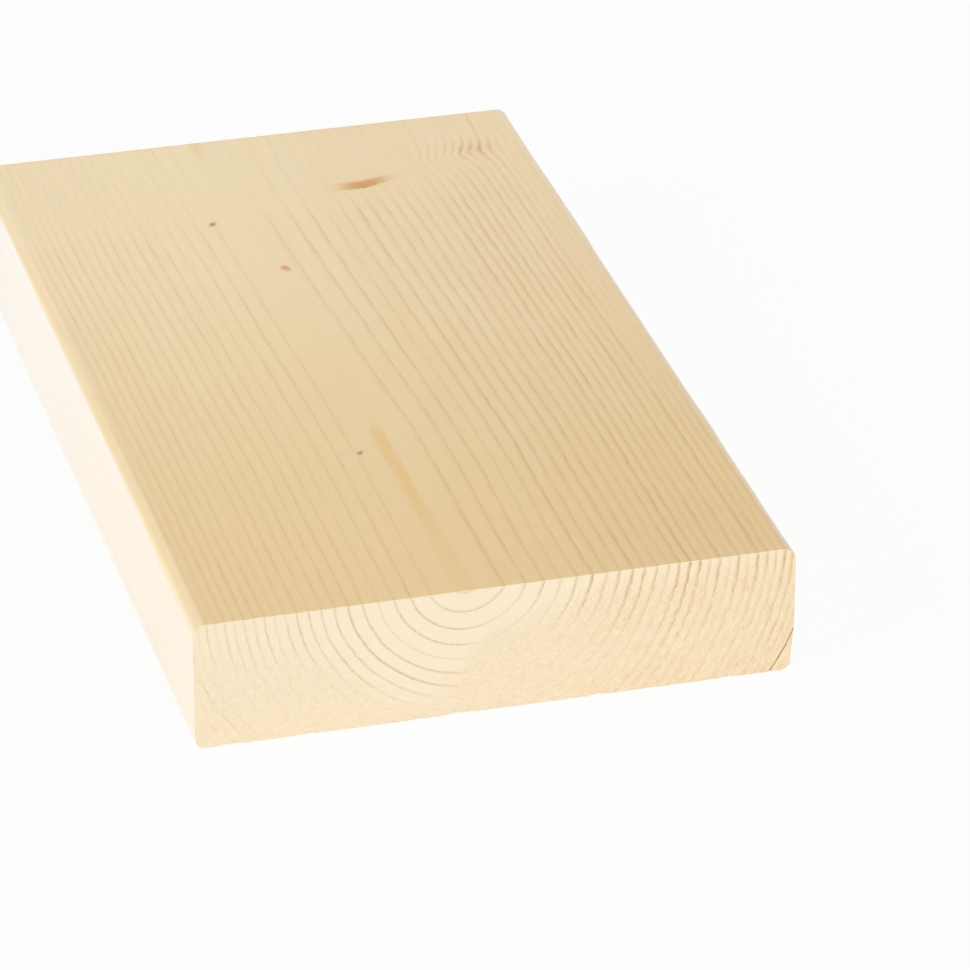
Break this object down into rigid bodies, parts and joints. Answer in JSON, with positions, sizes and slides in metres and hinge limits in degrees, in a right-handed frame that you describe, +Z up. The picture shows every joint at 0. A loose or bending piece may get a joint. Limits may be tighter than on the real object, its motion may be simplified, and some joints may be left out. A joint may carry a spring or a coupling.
{
  "type": "timber plank",
  "caption": "Short length of planed softwood plank with eased long arrises and square sawn ends, lying flat on its broad face.",
  "frame": {"origin": "middle of the broad face that the plank lies on", "axes": "+X across the width, +Y along the length away from the near sawn end, +Z up through the thickness"},
  "size_m": [0.195, 0.344, 0.044],
  "materials": {
    "spruce": "planed faces, sawn ends, unfinished"
  },
  "bodies": {
    "root": {"plank": "spruce"}
  },
  "joints": []
}
